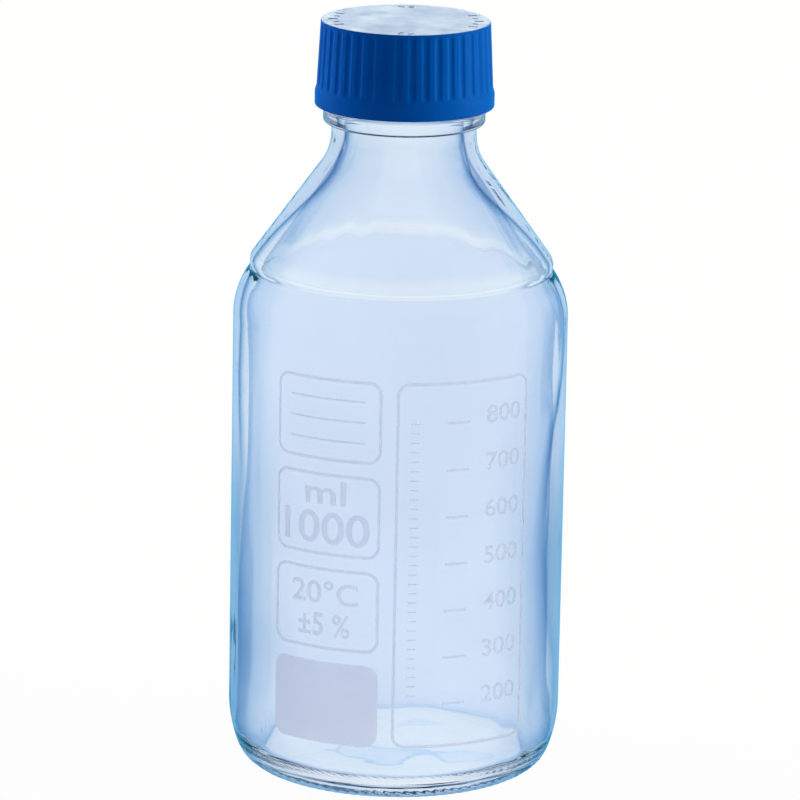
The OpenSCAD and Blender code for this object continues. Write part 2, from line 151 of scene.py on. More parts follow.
bottle = {
    "segments": 384,
    "wall": 3.5, "coneWall": 4.0, "neckWall": 4.0, "base": 5.0,
    "footInset": 11.0, "footWidth": 3.0, "pushUp": 2.5, "floorRise": 4.2,
    "heelRadius": 9.0, "heelBlend": 40.0, "innerHeel": 8.0,
    "shoulderRadius": 23.5, "shoulderHeight": 16.2, "evenTo": 8.5, "drawnFrom": 17.5,
    "rollRadius": 4.0, "rollOut": 2.35, "dipRadius": 1.4,
    "coneAngle": 35.7, "neckHeight": 2.7, "neckOut": 0.95, "neckFillet": 16.3, "innerFillet": 14.0,
    "boreRadius": 15.3, "boreLength": 19.0, "flareHeight": 6.0,
    "beadOut": 2.55, "beadHeight": 5.0, "beadGap": 0.7,
    "beadEdge": 0.4, "beadFillet": 0.6, "beadLowRound": 1.2, "beadTopRound": 1.4,
    "lipSetback": 0.9, "lipHeight": 3.2, "lipGroove": 0.6, "lipRound": 0.8,
    "grooveHeight": 2.2, "grooveIn": 0.3, "grooveUp": 0.2, "floorEase": 0.8,
    "stippleCount": 96, "stippleDepth": 0.22, "stippleSlant": 2.2, "stippleEven": 0.6,
    "stippleFrom": (0.02, 0.5), "stippleTo": (2.6, 4.2),
    # Unevenness: how far it strays, its seed, its waves round the axis and its waves in each millimetre
    "wallStray": (0.45, 0.6, 1.6, 0.045),
    "bandStray": (0.24, 3.3, 6.0, 0.02),
    "floorStray": (0.35, 9.1, 1.2, 0.08),
    "stippleStray": (0.8, 2.3, 9.0, 0.9),
    # Heights over which the wall grows even again, and radii over which the inner floor strays
    "wallEvens": (180, 196), "bandEvens": (186, 196), "floorStrays": (0, 8),
}
thread = {
    "outer": 22.3, "depth": 1.5, "pitch": 4.0, "turns": 2.2, "start": 4.2,
    "crest": 1.0, "flank": 1.0, "fade": 0.25,
}


def threadRise(angle, z, start, turns, crest):
    # Height of a right-hand ridge at one point of a wall, from 0 to 1
    along = (z - start) / thread["pitch"]
    t = angle / turn + round(along - angle / turn)
    if t < 0 or t > turns:
        return 0.0
    away = abs(along - t) * thread["pitch"]
    ends = smooth(0, thread["fade"], t) * smooth(0, thread["fade"], turns - t)
    return (1 - smooth(crest / 2, crest / 2 + thread["flank"], away)) * ends


def filletCentre(wall, radius, point, across, up):
    # The centre of an arc that touches an upright wall and a slope through the point
    return (wall + radius, point[1] + (radius - (wall + radius - point[0]) * across) / up)


def bottleRows(b):
    bodyR = glassHigh.x / mm
    top = glassHigh.z / mm
    angle = b["coneAngle"]
    across, up = math.cos(math.radians(angle)), math.sin(math.radians(angle))
    footR = bodyR - b["footInset"]
    innerR = bodyR - b["wall"]
    root = thread["outer"] - thread["depth"]
    neckR = root + b["neckOut"]
    neckInR = neckR - b["neckWall"]
    beadR = neckR + b["beadOut"]
    lipR = root - b["lipSetback"]
    lipLow = top - b["lipHeight"]
    beadTop = capLow.z / mm - b["beadGap"]
    beadLow = beadTop - b["beadHeight"]

    # Heel, shoulder, dip, roll and cone meet smoothly, so each one's ends follow from the next
    heelReach = b["heelBlend"] - b["heelRadius"]
    heelTurn = math.degrees(math.asin((b["heelBlend"] - b["footInset"]) / heelReach))
    heelZ = b["heelRadius"] + heelReach * math.cos(math.radians(heelTurn))
    reach = b["shoulderRadius"] - b["rollRadius"] + b["rollOut"]
    rollAt = math.asin(b["shoulderHeight"] / reach)
    rollX, rollUp = reach * math.cos(rollAt), reach * math.sin(rollAt)
    coneX = bodyR - b["shoulderRadius"] + rollX + b["rollRadius"] * across
    coneUp = rollUp + b["rollRadius"] * up
    filletUp = filletCentre(neckR, b["neckFillet"], (coneX, coneUp), across, up)[1]
    bodyTop = beadLow - b["neckHeight"] - filletUp
    shoulder = (bodyR - b["shoulderRadius"], bodyTop)
    roll = (shoulder[0] + rollX, bodyTop + rollUp)
    cone = (coneX, bodyTop + coneUp)
    dipReach = b["shoulderRadius"] + b["dipRadius"]
    dipAt = rollAt - math.acos((dipReach ** 2 + reach ** 2 - (b["rollRadius"] + b["dipRadius"]) ** 2)
                               / (2 * dipReach * reach))
    dip = (shoulder[0] + dipReach * math.cos(dipAt), bodyTop + dipReach * math.sin(dipAt))
    rollFrom = math.degrees(math.atan2(dip[1] - roll[1], dip[0] - roll[0]))
    innerCone = (cone[0] - b["coneWall"] * across, cone[1] - b["coneWall"] * up)
    fillet = filletCentre(neckR, b["neckFillet"], cone, across, up)
    innerFillet = filletCentre(neckInR, b["innerFillet"], innerCone, across, up)

    def shoulderInside(height):
        # An even wall under the dip, drawn out to the cone above it
        even = shoulder[0] + math.sqrt((b["shoulderRadius"] - b["wall"]) ** 2 - height ** 2)
        drawn = innerCone[0] + (innerCone[1] - bodyTop - height) * up / across
        return even + (drawn - even) * smooth(b["evenTo"], b["drawnFrom"], height), bodyTop + height

    # Up the outside, from the hollow under the foot to the neck
    rows = asRows("under", domePoints(footR - b["footWidth"], 0, b["pushUp"], 14))
    rows += asRows("under", linePoints((footR - b["footWidth"], 0), (footR, 0), 3)[1:-1])
    rows += asRows("stipple", arcPoints((footR, b["heelRadius"]), b["heelRadius"], -90, heelTurn - 90, 24))
    heelArc = arcPoints((bodyR - b["heelBlend"], heelZ), b["heelBlend"], heelTurn - 90, 0, 14)
    rows += asRows("heel", heelArc[1:])
    rows += asRows("body", linePoints((bodyR, heelZ), (bodyR, bodyTop), 16)[1:-1])
    rows += asRows("body", arcPoints(shoulder, b["shoulderRadius"], 0, math.degrees(dipAt), 18))
    dipArc = arcPoints(dip, b["dipRadius"], math.degrees(dipAt) + 180, rollFrom + 180, 6)
    rows += asRows("body", dipArc[1:])
    rows += asRows("body", arcPoints(roll, b["rollRadius"], rollFrom, angle, 14)[1:])
    neckArc = arcPoints(fillet, b["neckFillet"], 180 + angle, 180, 14)
    rows += asRows("body", linePoints(cone, neckArc[0], 10)[1:-1])
    rows += asRows("body", neckArc)
    # The bead, the threaded finish, the groove under the lip, and the lip
    neckRound, lowRound, topRound = b["beadFillet"], b["beadLowRound"], b["beadTopRound"]
    edgeZ = beadLow + b["beadEdge"]
    rows += asRows("body", arcPoints((neckR + neckRound, edgeZ - neckRound), neckRound, 180, 90, 4))
    rows += asRows("bead", arcPoints((beadR - lowRound, edgeZ + lowRound), lowRound, -90, 0, 8))
    rows += asRows("bead", arcPoints((beadR - topRound, beadTop - topRound), topRound, 0, 90, 6))
    grooveLow, grooveR = lipLow - b["grooveHeight"], lipR - b["lipGroove"]
    rows += asRows("finish", linePoints((root, beadTop), (root, grooveLow), 64))
    rows += asRows("lip", [(root - b["grooveIn"], grooveLow + b["grooveUp"])])
    rows += asRows("lip", linePoints((grooveR, grooveLow + 2 * b["grooveUp"]), (grooveR, lipLow), 3))
    rows += asRows("lip", [(lipR, lipLow + b["lipGroove"])])
    lipRound, lipZ = b["lipRound"], top - b["lipRound"]
    rows += asRows("lip", arcPoints((lipR - lipRound, lipZ), lipRound, 0, 90, 6))
    rows += asRows("lip", arcPoints((b["boreRadius"] + lipRound, lipZ), lipRound, 90, 180, 6))
    # Down the inside, from the bore to the middle of the floor
    flareTop = top - b["boreLength"]
    rows += asRows("bore", linePoints((b["boreRadius"], lipZ), (b["boreRadius"], flareTop), 8)[1:])
    widening, flareSteps = neckInR - b["boreRadius"], 8
    for i in range(1, flareSteps + 1):
        flareR = b["boreRadius"] + widening * smooth(0, flareSteps, i)
        rows += asRows("inside", [(flareR, flareTop - b["flareHeight"] * i / flareSteps)])
    innerArc = arcPoints(innerFillet, b["innerFillet"], 180, 180 + angle, 14)
    steps = 36
    innerShoulder = [shoulderInside(b["drawnFrom"] * (steps - i) / steps) for i in range(steps + 1)]
    rows += asRows("inside", linePoints((neckInR, flareTop - b["flareHeight"]), innerArc[0], 4)[1:-1])
    rows += asRows("inside", innerArc)
    rows += asRows("inside", linePoints(innerArc[-1], innerShoulder[0], 12)[1:-1])
    rows += asRows("inside", innerShoulder)
    innerCorner = (innerR - b["innerHeel"], b["base"] + b["innerHeel"])
    rows += asRows("inside", linePoints((innerR, bodyTop), (innerR, innerCorner[1]), 44)[1:-1])
    rows += asRows("inside", arcPoints(innerCorner, b["innerHeel"], 0, -90, 12))
    innerFloor = domePoints(innerCorner[0] - b["floorEase"], b["base"], b["floorRise"], 14)
    rows += asRows("floor", reversed(innerFloor))
    return rows


def stray(form, label, angle, along):
    depth, seed, around, rate = form[label]
    return depth * wander(seed, angle, along, around, rate)


def bottleShape(row, angle):
    r, z, zone = row
    if zone == "finish":
        start = capLow.z / mm + thread["start"]
        r += thread["depth"] * threadRise(angle, z, start, thread["turns"], thread["crest"])
    elif zone == "inside":
        r += stray(bottle, "wallStray", angle, z) * (1 - smooth(*bottle["wallEvens"], z))
        r += stray(bottle, "bandStray", angle, z) * (1 - smooth(*bottle["bandEvens"], z))
    elif zone == "floor":
        z += stray(bottle, "floorStray", angle, r) * smooth(*bottle["floorStrays"], r)
    elif zone == "stipple":
        band = between(bottle["stippleFrom"], bottle["stippleTo"], z)
        phase = angle * bottle["stippleCount"] + bottle["stippleSlant"] * z
        bump = math.cos(phase) * (bottle["stippleEven"] + stray(bottle, "stippleStray", angle, z))
        r += bottle["stippleDepth"] * band * bump
    return r, z


glassTintsAndPaintedLight = {
    # Ranges of height over which each tint, painted shade or painted light comes in, and for a band the
    # range over which it goes out
    "outer": (-2, 2), "upper": (70, 120),
    "waist": (110, 130), "roll": (150, 158), "neck": (160, 186), "calm": (145, 160),
    "rightFrom": (25, 60), "rightTo": (95, 125), "rightSide": (0.3, 1.0),
    "paleCone": (150, 165), "paleNeck": (185, 197),
    "paleRollFrom": (153, 155), "paleRollTo": (157.5, 160),
    "scuffRadius": (32, 36), "scuffHeight": (2.6, 5.5),
    # How far the painted blue edge shade moves in from the edge, and how much paler the painted light makes
    # the glass
    "rightShift": 0.10, "waistShift": -0.06, "rollShift": -0.02, "neckShift": 0.30,
    "bodyUneven": 0.12, "coneUneven": 0.06,
    "coneLift": 0.2, "neckLift": 0.25, "rollHighlight": 0.7,
    # Unevenness, given as in the dictionary of the bottle
    "upperStray": (30.0, 4.4, 0.8, 0.01), "shiftStray": (1.0, 7.7, 1.6, 0.03),
}


def outerEdgeShadeShare(row, angle):
    # 1 on the outside, where glass seen edge on is painted a darker blue as shade, and 0 inside
    r, z, zone = row
    return smooth(*glassTintsAndPaintedLight["outer"], z) if zone in ("heel", "stipple", "body", "bead") else 0.0


def upperShare(row, angle):
    # The upper body and all above it have their own tints and painted edge shade, with a painted dark line,
    # from an uneven height up
    z = row[1]
    return smooth(*glassTintsAndPaintedLight["upper"], z + stray(glassTintsAndPaintedLight, "upperStray", angle, z))


def edgeShadeShift(row, angle):
    # How much sooner the painted blue edge shade shows: it follows the inside of the wall, unevenly in the
    # blown body
    g = glassTintsAndPaintedLight
    z = row[1]
    right = g["rightShift"] * between(g["rightFrom"], g["rightTo"], z)
    right *= smooth(*g["rightSide"], math.cos(angle))
    above = sum(g[part + "Shift"] * smooth(*g[part], z) for part in ("neck", "waist", "roll"))
    uneven = g["bodyUneven"] + (g["coneUneven"] - g["bodyUneven"]) * smooth(*g["calm"], z)
    return right + above + uneven * stray(g, "shiftStray", angle, z)


def paintedLightShare(row, angle):
    # Painted light: the base, the roll and the neck are painted paler as if lit through, the roll as a
    # highlight arc, and the cone a little paler than the body
    g = glassTintsAndPaintedLight
    r, z, zone = row
    if zone in ("floor", "under"):
        return 1.0
    above = g["coneLift"] * smooth(*g["paleCone"], z) + g["neckLift"] * smooth(*g["paleNeck"], z)
    return above + g["rollHighlight"] * between(g["paleRollFrom"], g["paleRollTo"], z)


def hollowShare(row, angle):
    # 1 on the inside of the wall and the bore, which take their own painted edge shade, 0 elsewhere
    return 1.0 if row[2] in ("inside", "bore") else 0.0


def footShare(row, angle):
    # The stippled and scuffed ring that the bottle stands on
    r, z, zone = row
    if zone == "under":
        return smooth(*glassTintsAndPaintedLight["scuffRadius"], r)
    return 1 - smooth(*glassTintsAndPaintedLight["scuffHeight"], z) if zone == "stipple" else 0.0


glassMarks = {
    "outer": outerEdgeShadeShare, "upper": upperShare, "shift": edgeShadeShift,
    "pale": paintedLightShare, "hollow": hollowShare, "foot": footShare,
}
glassMesh = spin(bottleRows(bottle), bottle["segments"], bottleShape, marks=glassMarks)
glassPiece = addPiece("glassBottle", glassMesh, "bottle", ["glass_bottle"], sharpAngle=60)
print("glass made:", len(glassPiece.data.vertices), "points")


# The pouring ring clips over the lip, with a sharp drip edge at its top.

ring = {
    "segments": 160, "setBack": 0.6, "skirt": 0.7, "edge": 0.2,
    "innerRound": 0.3, "channel": 0.45, "tipDrop": 0.05, "tipLow": 0.25, "tipFoot": 0.9, "draft": 0.05,
    "footEase": 0.25, "snap": 0.4, "snapRise": 0.35, "snapUnder": 0.9, "snapOver": 0.5,
}


def ringRows(c):
    # From the spout over the drip channel and its edge, down the skirt, and up past the snap inside
    top, foot = ringHigh.z / mm, ringLow.z / mm
    lipTop = glassHigh.z / mm
    outer = ringHigh.x / mm
    bore = bottle["boreRadius"] + c["setBack"]
    inner = outer - c["skirt"]
    lipLow = lipTop - bottle["lipHeight"]
    snapR, topRound = inner - c["snap"], c["innerRound"]
    points = linePoints((bore, lipTop), (bore, top - topRound), 2)
    points += arcPoints((bore + topRound, top - topRound), topRound, 180, 90, 4)[1:]
    points += arcPoints((outer - c["channel"], top), c["channel"], 180, 270, 4)
    points += [(outer - c["edge"], top - c["tipLow"])]
    points += [(outer, top - c["tipDrop"]), (outer, top - c["tipFoot"])]
    points += linePoints((outer, top - c["tipFoot"] - c["edge"]), (outer - c["draft"], foot + c["edge"]), 4)
    points += [(outer - c["footEase"], foot), (inner, foot), (snapR, foot + c["snapRise"])]
    points += [(snapR, lipLow - c["snapUnder"]), (inner, lipLow + c["snapOver"]), (inner, lipTop)]
    return asRows("ring", points)


ringMesh = spin(ringRows(ring), ring["segments"], closed=True)
ringPiece = addPiece("pouringRing", ringMesh, "bottle", ["pouring_ring"])
print("pouring ring made")


# The cap: a ribbed skirt over a smooth band, with raised marks on its roof.

cap = {
    "ribs": 40, "stepsPerRib": 16, "ribDepth": 0.38, "ribEdge": 0.36,
    "bandHeight": 4.4, "slopeHeight": 2.2, "skirtLow": 26.35, "skirtTop": 25.35,
    "plainFrom": 0.3, "plainTo": 1.8,
    "bore": 22.75, "roof": 1.8, "edgeRound": 0.5, "bandRound": 0.5, "roofRound": 0.3,
    "mouthEase": 0.7, "mouthEdge": 1.0, "mouthFlat": 1.4, "mouthLift": 0.05,
    "slopeEase": 0.6, "slopeOver": 1.0, "plainRise": 2.2, "roofFlat": 1.2, "rowGap": 0.2,
    "threadTurns": 2.0, "threadCrest": 0.8,
    "markRing": 20.35, "markSize": 2.8, "markHeight": 0.2, "markRise": 0.1, "markSink": 0.1,
    "figureStep": 8, "figureBold": 0.06,
    "tickStep": 12, "ticksBeside": 2, "tickWidth": 0.8, "shortTick": 1.6,
}
roofZ = capHigh.z / mm - cap["markHeight"]
bandRadius = capHigh.x / mm
bandTop = capLow.z / mm + cap["bandHeight"]
ribLow = bandTop + cap["slopeHeight"]


def skirtRadius(z):
    t = (z - ribLow) / (roofZ - ribLow)
    return cap["skirtLow"] + (cap["skirtTop"] - cap["skirtLow"]) * t


def valleyRadius(z):
    # Between the ribs: the slope over the band, then the wall, which comes out again under the roof
    wall = skirtRadius(z) - cap["ribDepth"] * smooth(cap["plainFrom"], cap["plainTo"], roofZ - z)
    t = smooth(bandTop - cap["slopeEase"], ribLow + cap["slopeEase"], z)
    return bandRadius + (wall - bandRadius) * t


def capRows(c):
    foot = capLow.z / mm
    innerRoof = roofZ - c["roof"]
    ribTop = roofZ - c["edgeRound"]
    low = foot + c["bandRound"]
    gap, inner, footR = c["rowGap"], c["roofRound"], bandRadius - c["bandRound"]
    slopeLow, slopeTop, plainLow = bandTop - c["slopeEase"], ribLow + c["slopeOver"], ribTop - c["plainRise"]
    mouthEase = (c["bore"] + c["mouthEase"], foot + c["mouthLift"])
    # From the mouth up the outside, across the roof, back under it and down the bore
    rows = asRows("band", [mouthEase, (c["bore"] + c["mouthEdge"], foot)])
    rows += asRows("band", linePoints((c["bore"] + c["mouthFlat"], foot), (footR - gap / 2, foot), 3))
    rows += asRows("band", arcPoints((footR, low), c["bandRound"], -80, 0, 6))
    rows += asRows("band", linePoints((bandRadius, low), (bandRadius, slopeLow - gap), 4)[1:])
    rows += asRows("rib", linePoints((bandRadius, slopeLow), (bandRadius, slopeTop), 18))
    rows += asRows("rib", linePoints((bandRadius, slopeTop + 2 * gap), (bandRadius, plainLow - gap), 10))
    rows += asRows("rib", linePoints((bandRadius, plainLow), (bandRadius, ribTop), 14))
    rows += asRows("roof", arcPoints((c["skirtTop"] - c["edgeRound"], ribTop), c["edgeRound"], 12, 90, 7))
    rows += asRows("roof", linePoints((c["skirtTop"] - c["roofFlat"], roofZ), (0, roofZ), 10))
    rows += asRows("underRoof", linePoints((0, innerRoof), (c["bore"] - inner - gap / 2, innerRoof), 6))
    rows += asRows("underRoof", arcPoints((c["bore"] - inner, innerRoof - inner), inner, 80, 10, 3))
    boreTop = (c["bore"], innerRoof - inner - gap)
    rows += asRows("bore", linePoints(boreTop, (c["bore"], foot + c["mouthEase"]), 84))
    return rows


def capShape(row, angle):
    r, z, zone = row
    if zone == "rib":
        valley = valleyRadius(z)
        crest = max(valley, skirtRadius(z))
        wave = 0.5 - 0.5 * math.cos(angle * cap["ribs"])
        r = valley + (crest - valley) * smooth(0.0, 2 * cap["ribEdge"], 1 - wave)
    elif zone == "bore":
        start = capLow.z / mm + thread["start"] - thread["pitch"] / 2
        r -= thread["depth"] * threadRise(angle, z, start, cap["threadTurns"], cap["threadCrest"])
    return r, z


def flatMesh(data):
    # The filled face of a flat curve or of a text, as a mesh
    carrier = bpy.data.objects.new("flat", data)
    scene.collection.objects.link(carrier)
    graph = bpy.context.evaluated_depsgraph_get()
    graph.update()
    mesh = bpy.data.meshes.new_from_object(carrier.evaluated_get(graph))
    bpy.data.objects.remove(carrier)
    return mesh


def flatLoops(loops):
    data = bpy.data.curves.new("loops", "CURVE")
    data.dimensions = "2D"
    data.fill_mode = "BOTH"
    for loop in loops:
        spline = data.splines.new("POLY")
        spline.points.add(len(loop) - 1)
        for point, (x, y) in zip(spline.points, loop):
            point.co = (x, y, 0, 1)
        spline.use_cyclic_u = True
    return flatMesh(data)


def flatFigures(text, height, width=None, bold=0.0):
    # Figures that stand on y = 0 with their middle at x = 0
    data = bpy.data.curves.new("figures", "FONT")
    data.body = text
    data.size = height
    data.resolution_u = 6
    data.offset = bold
    mesh = flatMesh(data)
    xs, ys = [v.co.x for v in mesh.vertices], [v.co.y for v in mesh.vertices]
    scaleY = height / (max(ys) - min(ys))
    scaleX = (width / (max(xs) - min(xs))) if width else scaleY
    mesh.transform(Matrix.Diagonal((scaleX, scaleY, 1, 1)) @ Matrix.Translation(
        (-(max(xs) + min(xs)) / 2, -min(ys), 0)))
    return mesh


def rectangle(x, y, width, height):
    return [(x, y), (x + width, y), (x + width, y + height), (x, y + height)]


def thicken(form, height):
    # Gives a sheet of faces its thickness along +Z, which the wall or the roof turns outward
    top = bmesh.ops.extrude_face_region(form, geom=form.faces[:])["geom"]
    for v in top:
        if isinstance(v, bmesh.types.BMVert):
            v.co.z += height
    bmesh.ops.recalc_face_normals(form, faces=form.faces)


def gather(sheets):
    # Joins flat meshes that are each placed by a matrix
    form = bmesh.new()
    for mesh, place in sheets:
        mesh.transform(place)
        form.from_mesh(mesh)
        bpy.data.meshes.remove(mesh)
    bmesh.ops.remove_doubles(form, verts=form.verts, dist=1e-4)
    return form


def onRing(c, degrees):
    # Places a mark on the ring of marks, with its foot towards the middle of the roof
    return Matrix.Rotation(math.radians(degrees), 4, "Z") @ Matrix.Translation((0, c["markRing"], 0))


def roofMarks(c):
    # The number stands at the rear and the front of the roof, and ticks stand at its sides
    sheets = []
    for side in (0, 180):
        for i, figure in enumerate("45"):
            mesh = flatFigures(figure, c["markSize"], bold=c["figureBold"])
            sheets.append((mesh, onRing(c, side - c["figureStep"] * (i - 0.5))))
        for i in range(-c["ticksBeside"], c["ticksBeside"] + 1):
            tall = c["markSize"] if i % 2 == 0 else c["shortTick"]
            tick = flatLoops([rectangle(-c["tickWidth"] / 2, 0, c["tickWidth"], tall)])
            sheets.append((tick, onRing(c, side + 90 + c["tickStep"] * i)))
    form = gather(sheets)
    for v in form.verts:
        v.co.z = -c["markSink"]
    thicken(form, c["markSink"] + c["markRise"])
    mesh = bpy.data.meshes.new("marks")
    form.to_mesh(mesh)
    form.free()
    mesh.transform(Matrix.Translation((0, 0, roofZ * mm)) @ Matrix.Scale(mm, 4))
    return mesh


capMesh = spin(capRows(cap), cap["ribs"] * cap["stepsPerRib"], capShape, closed=True)
capPiece = addPiece("screwCap", capMesh, "cap", ["screw_cap"], sharpAngle=50)
marksPiece = addPiece("capMarks", roofMarks(cap), "cap", [], sharpAngle=30)
print("cap made:", len(capPiece.data.vertices), "points")


# The seal: a silicone disc with a thin facing, both pressed into a shallow ring by the lip.

seal = {"segments": 160, "edge": 0.25, "facingEdge": 0.1, "dent": 0.06, "dentRadius": 18.3, "dentWidth": 2.4}


def sealRows(low, high, edge):
    radius, foot, top = high.x / mm, low.z / mm, high.z / mm
    rows = asRows("foot", linePoints((0, foot), (radius - edge, foot), 22))
    rows += asRows("edge", arcPoints((radius - edge, foot + edge), edge, -70, 0, 3))
    rows += asRows("edge", arcPoints((radius - edge, top - edge), edge, 0, 70, 3))
    rows += asRows("top", linePoints((radius - edge, top), (0, top), 12))
    return rows


def facingShape(row, angle):
    r, z, zone = row
    if zone == "foot":
        z += seal["dent"] * (1 - smooth(0, seal["dentWidth"], abs(r - seal["dentRadius"])))
    return r, z


discMesh = spin(sealRows(discLow, discHigh, seal["edge"]), seal["segments"])
discPiece = addPiece("sealDisc", discMesh, "seal", ["seal_disc"])
facingMesh = spin(sealRows(facingLow, facingHigh, seal["facingEdge"]), seal["segments"], facingShape)
facingPiece = addPiece("sealFacing", facingMesh, "seal", ["seal_facing"])
print("seal made")


# The print: fired enamel on the wall. x is the arc from the middle of the front, y is the height.

printing = {
    "low": 18.5, "high": 131.0, "line": 0.9, "corner": 4.0,
    "thickness": 0.03, "lift": 0.01, "stepAcross": 1.0,
    "scaleLeft": -0.6, "scaleRight": 43.0,
    "panels": 4, "panelLeft": -39.3, "panelRight": -4.8, "panelGap": 3.9,
    "firstMark": 32.0, "firstVolume": 200, "markVolume": 100, "marks": 7,
    "markLeft": 14.6, "markRight": 21.8, "markLine": 0.7,
    "numberMiddle": 33.7, "numberHeight": 5.4, "numberWidth": 12.6, "numberBold": 0.05, "numberDrop": 1.0,
    "finePerMark": 5, "fineLeft": 3.7, "fineRight": 6.3, "fineLine": 0.4,
    "ruledLines": 3, "ruledInset": 5, "ruledLine": 0.6,
}
# What the panels say; the foot of each line is measured from the panel's lower edge
panelText = {
    "capacity": [
        {"text": "1000", "height": 10.0, "width": 28.2, "bold": 0.12, "foot": 3.4},
        {"text": "ml", "height": 7.4, "width": 13.5, "bold": 0.12, "foot": 15.6},
    ],
    "limits": [
        {"text": "20°C", "height": 7.2, "width": 22.0, "bold": 0.1, "foot": 14.0},
        {"text": "±5 %", "height": 7.2, "width": 17.0, "bold": 0.1, "foot": 4.0},
    ],
}
wallRadius = glassHigh.x / mm
markStep = 1000 * printing["markVolume"] / (math.pi * (wallRadius - bottle["wall"]) ** 2)


def roundField(left, right, low, high, corner):
    loop = arcPoints((right - corner, low + corner), corner, -90, 0, 8)
    loop += arcPoints((right - corner, high - corner), corner, 0, 90, 8)
    loop += arcPoints((left + corner, high - corner), corner, 90, 180, 8)
    loop += arcPoints((left + corner, low + corner), corner, 180, 270, 8)
    return loop


def frameLoops(left, right, low, high):
    w = printing["line"]
    return [roundField(left, right, low, high, printing["corner"]),
            roundField(left + w, right - w, low + w, high - w, printing["corner"] - w)]


def at(x, y):
    return Matrix.Translation((x, y, 0))


def bar(left, right, z, thick):
    # A sheet with one straight line across the wall
    return flatLoops([rectangle(left, z - thick / 2, right - left, thick)]), at(0, 0)


def wrapped(sheets):
    # Bends flat sheets round the wall, in steps short enough to lie close to it
    form = gather(sheets)
    step = printing["stepAcross"]
    low, high = min(v.co.x for v in form.verts), max(v.co.x for v in form.verts)
    for k in range(math.floor(low / step) + 1, math.ceil(high / step)):
        bmesh.ops.bisect_plane(form, geom=form.verts[:] + form.edges[:] + form.faces[:],
                               plane_co=(k * step, 0, 0), plane_no=(1, 0, 0))
    thicken(form, printing["thickness"])
    for v in form.verts:
        a, r = v.co.x / wallRadius, wallRadius + printing["lift"] + v.co.z
        v.co = (r * math.sin(a) * mm, -r * math.cos(a) * mm, v.co.y * mm)
    bmesh.ops.recalc_face_normals(form, faces=form.faces)
    mesh = bpy.data.meshes.new("print")
    form.to_mesh(mesh)
    form.free()
    return mesh


def panelSpan(row):
    # The lower edge and the height of a panel; row 0 is the lowest
    p = printing
    height = (p["high"] - p["low"] - (p["panels"] - 1) * p["panelGap"]) / p["panels"]
    return p["low"] + row * (height + p["panelGap"]), height


def panelSheets(row, words=()):
    low, height = panelSpan(row)
    left, right = printing["panelLeft"], printing["panelRight"]
    sheets = [(flatLoops(frameLoops(left, right, low, low + height)), at(0, 0))]
    for word in words:
        figures = flatFigures(word["text"], word["height"], word["width"], word["bold"])
        sheets.append((figures, at((left + right) / 2, low + word["foot"])))
    return sheets


def addPrint(name, sheets, node):
    return addPiece(name, wrapped(sheets), "bottle", [node], sharpAngle=30)


def makePrint(p):
    heights = [p["firstMark"] + i * markStep for i in range(p["marks"])]
    scaleLoops = frameLoops(p["scaleLeft"], p["scaleRight"], p["low"], p["high"])
    pieces = [addPrint("scaleFrame", [(flatLoops(scaleLoops), at(0, 0))], "print_scale_frame")]

    lines = [bar(p["markLeft"], p["markRight"], z, p["markLine"]) for z in heights]
    pieces.append(addPrint("scaleLines", lines, "print_scale_lines"))

    numbers = []
    for i, z in enumerate(heights):
        volume = str(p["firstVolume"] + p["markVolume"] * i)
        figures = flatFigures(volume, p["numberHeight"], p["numberWidth"], p["numberBold"])
        numbers.append((figures, at(p["numberMiddle"], z - p["numberDrop"])))
    pieces.append(addPrint("scaleNumbers", numbers, "print_scale_numbers"))

    fine = []
    for i in range(p["finePerMark"] * (p["marks"] - 1) + 1):
        z = p["firstMark"] + i * markStep / p["finePerMark"]
        fine.append(bar(p["fineLeft"], p["fineRight"], z, p["fineLine"]))
    pieces.append(addPrint("fineMarks", fine, "print_fine_marks"))

    ruled = panelSheets(3)
    low, height = panelSpan(3)
    left, right = p["panelLeft"] + p["ruledInset"], p["panelRight"] - p["ruledInset"]
    for i in range(1, p["ruledLines"] + 1):
        z = low + height * i / (p["ruledLines"] + 1)
        ruled.append(bar(left, right, z, p["ruledLine"]))
    pieces.append(addPrint("titlePanel", ruled, "print_title_panel"))

    capacity, limits = panelSheets(2, panelText["capacity"]), panelSheets(1, panelText["limits"])
    pieces.append(addPrint("capacityPanel", capacity, "print_capacity_panel"))
    pieces.append(addPrint("limitsPanel", limits, "print_limits_panel"))

    low, height = panelSpan(0)
    patch = flatLoops([roundField(p["panelLeft"], p["panelRight"], low, low + height, p["corner"])])
    pieces.append(addPrint("writeOnPatch", [(patch, at(0, 0))], "print_write_on_patch"))
    return pieces


printPieces = makePrint(printing)
print("print made:", len(printPieces), "pieces")


# Effects that several finishes share.

def makeGroup(name, inputs, output):
    group = bpy.data.node_groups.new(name, "ShaderNodeTree")
    for label, value in inputs:
        socket = group.interface.new_socket(label, in_out="INPUT", socket_type="NodeSocketFloat")
        socket.default_value = value
    group.interface.new_socket(output, in_out="OUTPUT", socket_type="NodeSocketFloat")
    return group, group.nodes.new("NodeGroupInput"), group.nodes.new("NodeGroupOutput")


def feed(links, socket, value):
    # The value is a number, a colour or another node's output
    if isinstance(value, bpy.types.NodeSocket):
        links.new(value, socket)
    else:
        socket.default_value = value if isinstance(value, float) else (*value, 1)


def addMath(nodes, links, operation, *values):
    node = nodes.new("ShaderNodeMath")
    node.operation = operation
    for socket, value in zip(node.inputs, values):
        feed(links, socket, value)
    return node.outputs["Value"]


